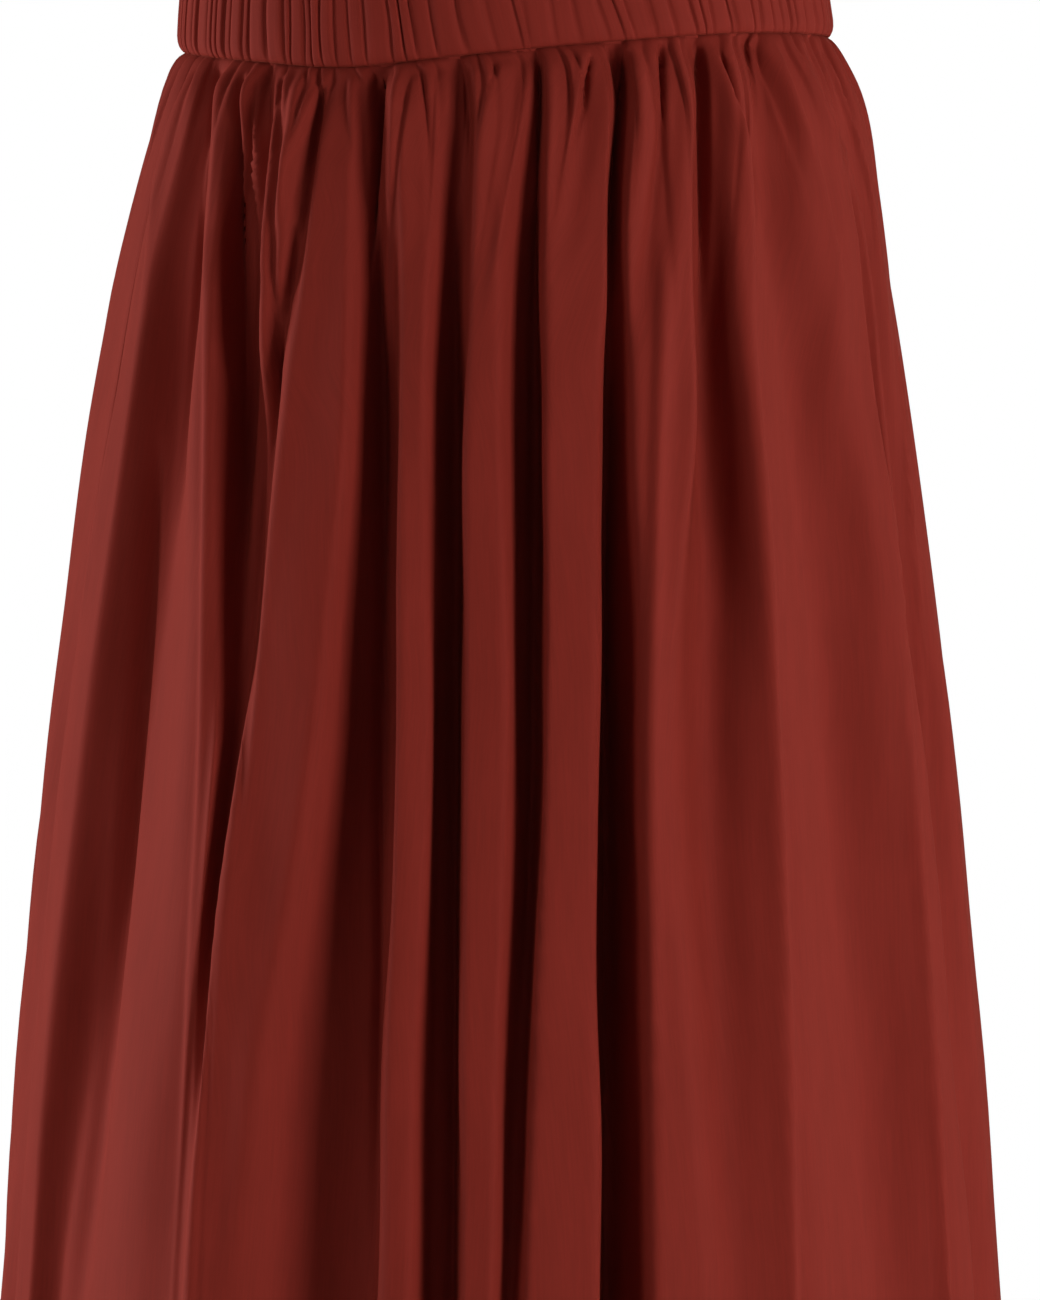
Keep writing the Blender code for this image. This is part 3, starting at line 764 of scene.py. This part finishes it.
# Height above the seam, how far in from the outside, and fullness of the puffs, from the bottom
# of the outside over the fold to the bottom of the inside.
BAND_PROFILE = (
    (0.15, 0.0, 0.35), (1.2, 0.0, 0.5), (2.6, 0.0, 0.68), (4.4, 0.0, 0.85), (7, 0.0, 0.98),
    (11, 0.0, 1.0), (16, 0.0, 1.0), (21, 0.0, 1.0), (26, 0.0, 1.0), (31, 0.0, 1.0),
    (35.5, 0.0, 1.0), (39, 0.0, 0.96), (41.6, 0.1, 0.88), (43.4, 0.4, 0.75), (44.5, 1.0, 0.62),
    (WAISTBAND_HEIGHT, 1.9, 0.5), (44.6, 2.9, 0.42), (43.4, 3.6, 0.4), (41, INNER_LAYER, 0.45),
    (36, INNER_LAYER, 0.5), (30, INNER_LAYER, 0.5), (24, INNER_LAYER, 0.5), (18, INNER_LAYER, 0.5),
    (12, INNER_LAYER, 0.5), (6, INNER_LAYER, 0.4), (1, 3.9, 0.25), (-1, 3.7, 0.2),
)
TURNED_SIDE = 15
INNER_PUFFS = -0.7
print("casing", WAISTBAND_HEIGHT, "mm high, cut", BAND_CUT[0], "x", BAND_CUT[1], "mm")

# %% Puffs of the waistband
WOBBLE_DEGREES = 0.5
WOBBLE_HEIGHT = 9
WOBBLE_PHASES = 6.3
CALM_AT_SEAMS = 3


def puff(share):
    """Height, 0 to 1, of a puff at each share of its width: nearly flat between narrow grooves."""
    return 1 - np.abs(2 * share - 1) ** PUFF_FLATNESS


def band_puffs(left_seam, right_seam):
    """Degrees round, share of the puff and size of the puff, for every column of the waistband."""
    random = np.random.default_rng(SEED)
    degrees, share, height = [], [], []
    for start, end in ((left_seam, right_seam), (right_seam, left_seam + 360)):
        widths = random.uniform(1 - PUFF_UNEVENNESS, 1 + PUFF_UNEVENNESS, WAIST_PUFFS_A_SIDE)
        widths *= (end - start) / widths.sum()
        heights = random.uniform(1 - UNEVENNESS, 1 + UNEVENNESS, WAIST_PUFFS_A_SIDE)
        for width, puff_height in zip(widths, heights):
            for column in range(PUFF_COLUMNS):
                part = column / PUFF_COLUMNS
                degrees.append(start + part * width)
                share.append(part)
                height.append(puff_height)
            start += width
    return np.array(degrees), np.array(share), np.array(height)


LEFT_SEAM = FOLD_LINES[0].degrees[0]
RIGHT_SEAM = FOLD_LINES[3 * FOLDS_A_PANEL].degrees[0]
BAND_DEGREES, PUFF_SHARE, PUFF_HEIGHTS = band_puffs(LEFT_SEAM, RIGHT_SEAM)
band_random = np.random.default_rng(SEED + 1)
PUFFS = 2 * WAIST_PUFFS_A_SIDE
PUFF_WOBBLE = np.repeat(band_random.uniform(-WOBBLE_DEGREES, WOBBLE_DEGREES, PUFFS), PUFF_COLUMNS)
PUFF_PHASE = np.repeat(band_random.uniform(0, WOBBLE_PHASES, PUFFS), PUFF_COLUMNS)


def smooth_round(values):
    """Values per puff, blended over the columns so that neighbouring puffs meet."""
    window = np.hanning(PUFF_COLUMNS + 3)[1:-1]
    count = len(window) // 2
    wrapped = np.concatenate([values[-count:], values, values[:count]])
    return np.convolve(wrapped, window / window.sum(), mode="valid")


def band_row(above, inset, fullness, inner):
    slant_share = np.sin(np.radians(BAND_DEGREES - LEFT_SEAM)) ** 2
    at_seams = np.minimum(1, CALM_AT_SEAMS * slant_share)
    wobble = smooth_round(PUFF_WOBBLE * np.sin(above / WOBBLE_HEIGHT + PUFF_PHASE)) * at_seams
    slant = -WAIST_PUFF_SLANT * slant_share * above / WAISTBAND_HEIGHT + wobble
    degrees = BAND_DEGREES + slant
    ring = Ring(-max(above, 0))
    relief = WAIST_PUFF_HEIGHT * fullness * PUFF_HEIGHTS * puff(PUFF_SHARE)
    relief = relief * (INNER_PUFFS if inner else 1)
    pinch = SEAM_PINCH * math.exp(-max(above, 0) / SEAM_PINCH_REACH)
    points = ring.point(degrees, inset - relief + (0 if inner else pinch))
    return np.column_stack([points, seam_height(degrees) + above])


print(PUFFS, f"puffs, each of {BAND_CUT[0] / WAIST_PUFFS_A_SIDE:.1f} mm of cloth on average")

# %% Waistband pieces
band = np.array([
    band_row(above, inset, fullness, row > TURNED_SIDE)
    for row, (above, inset, fullness) in enumerate(BAND_PROFILE)
])
# Rows run from the top down elsewhere, so the profile is turned round to face out.
band = band[::-1]
down = np.append(0, np.cumsum([math.dist(a[:2], b[:2]) for a, b in zip(BAND_PROFILE[1:], BAND_PROFILE)]))
waistbands = {}
for name, first in (("front_waistband_cloth", 0), ("back_waistband_cloth", 1)):
    seam_column = WAIST_PUFFS_A_SIDE * PUFF_COLUMNS
    columns = range(first * seam_column, (first + 1) * seam_column + 1)
    points = np.take(band, columns, axis=1, mode="wrap").copy()
    for end, other in ((0, 1), (-1, -2)):
        way = points[:, other, :2] - points[:, end, :2]
        points[:, end, :2] += way / np.linalg.norm(way, axis=1, keepdims=True) * SEAM_GAP / 2
    across = np.linspace(0, BAND_CUT[0], points.shape[1])
    cut = np.stack(np.broadcast_arrays(across[None, :], down[::-1, None] + NEXT_PANEL), axis=-1)
    waistbands[name] = cloth_piece(name, points[::-1], cut[::-1], hidden_side=1.0)
    print(name, "has", 4 * len(waistbands[name].data.polygons), "triangles")

# %% [markdown]
# ## Hem stitches
# A row of machine stitches holds the turned hem, 16 mm above the edge. Each stitch is a short
# thread that dips into the cloth at both ends.

# %% Hem stitches
STITCH_ABOVE_HEM = 16.0
STITCH_COLUMNS = 2
STITCH_PITCH = 3
THREAD_RADIUS = 0.22
THREAD_SIDES = 6
# How far along a stitch each ring of the thread lies, and how high over the cloth.
STITCH_PROFILE = ((0.0, -0.1), (0.2, 0.12), (0.8, 0.12), (1.0, -0.1))
FACES_A_STITCH = THREAD_SIDES * (len(STITCH_PROFILE) - 1) + 2


def stitch_row(name, first, last):
    """Small six-sided threads along one row of the cloth's grid."""
    outside = LEVELS[:-len(HEM_ROWS)]
    row = np.interp(SKIRT_LENGTH - STITCH_ABOVE_HEM, outside, np.arange(len(outside)))
    low = int(row)
    line = GRID[low] + (row - low) * (GRID[low + 1] - GRID[low])
    count = len(line)
    vertices, faces = [], []
    for column in range(first + STITCH_COLUMNS, last - STITCH_COLUMNS, STITCH_PITCH):
        start, end = line[column % count], line[(column + STITCH_COLUMNS) % count]
        out = NORMALS[low][(column + 1) % count]
        way = (end - start) / np.linalg.norm(end - start)
        aside = np.cross(out, way)
        base = len(vertices)
        for share, height in STITCH_PROFILE:
            middle = start + share * (end - start) + height * out
            for turn in np.arange(THREAD_SIDES) * 2 * math.pi / THREAD_SIDES:
                spoke = math.cos(turn) * out + math.sin(turn) * aside
                vertices.append(middle + THREAD_RADIUS * spoke)
        for ring in range(len(STITCH_PROFILE) - 1):
            for side in range(THREAD_SIDES):
                a = base + THREAD_SIDES * ring + side
                b = base + THREAD_SIDES * ring + (side + 1) % THREAD_SIDES
                faces.append((a, b, b + THREAD_SIDES, a + THREAD_SIDES))
        first_end = range(base + THREAD_SIDES - 1, base - 1, -1)
        last_end = range(len(vertices) - THREAD_SIDES, len(vertices))
        faces += [tuple(first_end), tuple(last_end)]
    mesh = bpy.data.meshes.new(name)
    mesh.from_pydata((np.array(vertices) * MM).tolist(), [], faces)
    mesh.shade_smooth()
    stitches = bpy.data.objects.new(name, mesh)
    bpy.context.scene.collection.objects.link(stitches)
    return stitches


hem_stitches = {
    "front_panel_cloth": stitch_row("front_hem_stitches", 0, PANEL_COLUMNS),
    "back_panel_cloth": stitch_row("back_hem_stitches", PANEL_COLUMNS, 2 * PANEL_COLUMNS),
}
for stitches in hem_stitches.values():
    print(stitches.name, "has", len(stitches.data.polygons) // FACES_A_STITCH, "stitches")

# %% [markdown]
# ## Cotton cloth, dyed rust red
# The cloth is a smooth mercerised cotton in a plain weave. Its fine threads lie too close to be
# seen one by one, but the warp threads differ a little in thickness and in how they took the dye,
# which leaves faint streaks down the cloth. Short fibre ends catch the light at grazing angles: a
# sheen, brightest on the edges of the folds. Colours are sRGB hex values turned to linear here.

# %% Material helpers
def linear(hex_colour):
    """An sRGB hex colour as linear RGBA."""
    values = [int(hex_colour[i:i + 2], 16) / 255 for i in (1, 3, 5)]
    return [v / 12.92 if v <= 0.04045 else ((v + 0.055) / 1.055) ** 2.4 for v in values] + [1.0]


def add(material, kind, settings=None, **inputs):
    """Adds a node, with its settings, and its inputs as values or as links from other sockets."""
    node = material.node_tree.nodes.new(kind)
    for key, value in (settings or {}).items():
        setattr(node, key, value)
    for key, value in inputs.items():
        socket = node.inputs[int(key[1:])] if key[0] == "_" else node.inputs[key.replace("_", " ")]
        if isinstance(value, bpy.types.NodeSocket):
            material.node_tree.links.new(value, socket)
        else:
            socket.default_value = value
    return node


def blank_material(name):
    material = bpy.data.materials.new(name)
    material.use_nodes = True
    material.node_tree.nodes.clear()
    return material


CLOTH_RED = "#8a2b21"
CLOTH_DARK_RED = "#82281e"
print("rust red in linear light:", [round(value, 3) for value in linear(CLOTH_RED)[:3]])

# %% Cloth material
THREAD_SPACING = 0.8
STREAK_WIDTH, STREAK_LENGTH = 0.9, 26.0
MOTTLE_WIDTH, MOTTLE_LENGTH = 9.0, 45.0


def per_mm(size):
    """How often a pattern of that size in mm repeats in one metre."""
    return 1 / (size * MM)


def cotton(name):
    """Dyed cotton in a plain weave. The real thread spacing is 0.28 mm, drawn coarser here to show."""
    material = blank_material(name)
    place = add(material, "ShaderNodeUVMap", {"uv_map": "flat_cut"}).outputs["UV"]

    def stretched(width, length):
        scale = (per_mm(width), per_mm(length), 1.0)
        node = add(material, "ShaderNodeVectorMath", {"operation": "MULTIPLY"}, _0=place, _1=scale)
        return node.outputs[0]

    def noise(width, length, detail):
        node = add(material, "ShaderNodeTexNoise", {"noise_dimensions": "2D"},
                   Vector=stretched(width, length), Scale=1.0, Detail=detail, Roughness=0.6)
        return node.outputs["Fac"]

    def math_node(operation, first, second):
        return add(material, "ShaderNodeMath", {"operation": operation}, _0=first, _1=second).outputs[0]

    streaks = noise(STREAK_WIDTH, STREAK_LENGTH, 3.0)
    mottle = noise(MOTTLE_WIDTH, MOTTLE_LENGTH, 4.0)
    shade = math_node("ADD", math_node("MULTIPLY", streaks, 0.6), math_node("MULTIPLY", mottle, 0.4))
    contrast = add(material, "ShaderNodeMapRange", None, Value=shade, From_Min=0.34, From_Max=0.66)
    colour = add(material, "ShaderNodeMix", {"data_type": "RGBA"}, _0=contrast.outputs[0],
                 _6=linear(CLOTH_DARK_RED), _7=linear(CLOTH_RED)).outputs[2]

    waves = [
        add(material, "ShaderNodeTexWave", {"bands_direction": direction}, Scale=1.0,
            Vector=stretched(THREAD_SPACING * 2, THREAD_SPACING * 2)).outputs["Fac"]
        for direction in ("X", "Y")
    ]
    weave = math_node("MULTIPLY", waves[0], waves[1])
    relief = math_node("ADD", math_node("MULTIPLY", weave, 0.25), streaks)
    bump = add(material, "ShaderNodeBump", None, Strength=0.25, Distance=0.08 * MM, Height=relief)
    shader = add(
        material, "ShaderNodeBsdfPrincipled", None, Base_Color=colour, Roughness=0.8, IOR=1.5,
        Specular_IOR_Level=0.12, Sheen_Weight=0.14, Sheen_Roughness=0.4,
        Sheen_Tint=linear("#e06a50"), Normal=bump.outputs[0])
    add(material, "ShaderNodeOutputMaterial", None, Surface=shader.outputs[0])
    return material


rust_cotton = cotton("mercerised_cotton_rust")
print(rust_cotton.name, "has", len(rust_cotton.node_tree.nodes), "nodes")

# %% Thread material
# Spun polyester sewing thread, dyed darker than the cloth. Its twisted fibres scatter the light,
# so it shines softly and unevenly, a little more than the cotton.
THREAD_RED = "#6e2018"
thread = blank_material("polyester_sewing_thread")
thread_shader = add(
    thread, "ShaderNodeBsdfPrincipled", None, Base_Color=linear(THREAD_RED), Roughness=0.5)
add(thread, "ShaderNodeOutputMaterial", None, Surface=thread_shader.outputs[0])
print(thread.name, "for", len(hem_stitches), "rows of stitches")

# %% Dress the pieces
DRESSED = (
    (panels["front_panel_cloth"], "skirt_front", "skirt_front_cloth"),
    (panels["back_panel_cloth"], "skirt_back", "skirt_back_cloth"),
    (waistbands["front_waistband_cloth"], "waistband_front", "waistband_front_cloth"),
    (waistbands["back_waistband_cloth"], "waistband_back", "waistband_back_cloth"),
)
for piece, node, slot in DRESSED:
    piece.data.materials.append(rust_cotton)
    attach(piece, "root")
    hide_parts(node)
    print(piece.name, "stands for", node)
for stitches in hem_stitches.values():
    stitches.data.materials.append(thread)
    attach(stitches, "root")

# %% [markdown]
# ## How each piece was cut
# A sheet of cloth can bend but it can't grow. Each piece keeps its place in the flat cut as its UV map.

# %% [markdown]
# ## Floor, light and background
# The skirt hangs at the height it is worn, so the pale floor lies about a metre under the waist.
# The strongest soft light stands to the left and a little behind, so it rims the left edges of the
# folds. A weaker one on the right front fills their tops, the others soften the rest, and almost
# nothing reaches the valleys. The background is plain white.

# %% Floor
FLOOR_HEIGHT = -1.05
FLOOR_SIZE = 6.0
floor_mesh = bpy.data.meshes.new("pale_floor")
corners = [(x * FLOOR_SIZE / 2, y * FLOOR_SIZE / 2, 0) for x, y in ((-1, -1), (1, -1), (1, 1), (-1, 1))]
floor_mesh.from_pydata(corners, [], [(0, 1, 2, 3)])
floor = bpy.data.objects.new("pale_floor", floor_mesh)
floor.location.z = FLOOR_HEIGHT
bpy.context.scene.collection.objects.link(floor)
# Matt emulsion paint: it scatters the light evenly, so the floor shows soft shadows and no shine.
pale_paint = blank_material("pale_studio_paint")
paint = add(pale_paint, "ShaderNodeBsdfPrincipled", None, Base_Color=linear("#e8e6e2"), Roughness=0.9)
add(pale_paint, "ShaderNodeOutputMaterial", None, Surface=paint.outputs[0])
floor_mesh.materials.append(pale_paint)
floor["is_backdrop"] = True
print("floor of", FLOOR_SIZE, "m,", -FLOOR_HEIGHT, "m under the waist")

# %% Lights
LIGHTS_AIM = Vector((0, 0, -0.25))
Softbox = namedtuple("Softbox", "name place size watts")
SOFTBOXES = (
    Softbox("left_softbox", (-2.15, 0.4, -0.06), 0.9, 34),
    Softbox("left_front_softbox", (-1.6, -1.5, -0.06), 0.8, 8),
    Softbox("right_front_softbox", (1.64, -1.47, -0.06), 0.8, 27),
    Softbox("right_softbox", (2.15, 0.4, -0.06), 0.8, 12),
    Softbox("top_softbox", (0.0, -0.9, 1.75), 0.8, 2),
    Softbox("back_softbox", (0.3, 3.0, 0.9), 1.8, 20),
)
for softbox in SOFTBOXES:
    light = bpy.data.lights.new(softbox.name, "AREA")
    light.size = softbox.size
    light.energy = softbox.watts
    lamp = bpy.data.objects.new(softbox.name, light)
    lamp.location = softbox.place
    lamp.rotation_euler = (LIGHTS_AIM - Vector(softbox.place)).to_track_quat("-Z", "Y").to_euler()
    lamp.visible_camera = False
    bpy.context.scene.collection.objects.link(lamp)
print(len(SOFTBOXES), "softboxes,", sum(softbox.watts for softbox in SOFTBOXES), "W in all")

# %% Background
# The world looks white to the camera, but it lights the cloth only this much.
FILL = 0.002
world = bpy.data.worlds.new("white_studio")
world.use_nodes = True
world.node_tree.nodes.clear()
seen = add(world, "ShaderNodeLightPath").outputs["Is Camera Ray"]
strength = add(world, "ShaderNodeMapRange", None, Value=seen, To_Min=FILL, To_Max=1.0).outputs[0]
white = add(world, "ShaderNodeBackground", None, Color=(1, 1, 1, 1), Strength=strength)
add(world, "ShaderNodeOutputWorld", None, Surface=white.outputs[0])
bpy.context.scene.world = world
bpy.context.scene.view_settings.view_transform = "Standard"
print("white background, with a fill light of", FILL)

# %% [markdown]
# ## The size
# The cloth must stay as large as the solid model. Both boxes are written down for comparison.

# %% Sizes and finish
dressed_box = [list(corner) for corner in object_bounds()]
for axis, name in enumerate("xyz"):
    solid, cloth = ([round(corner[axis] / MM) for corner in box] for box in (cad_box, dressed_box))
    print(name, "solid", solid, "cloth", cloth)
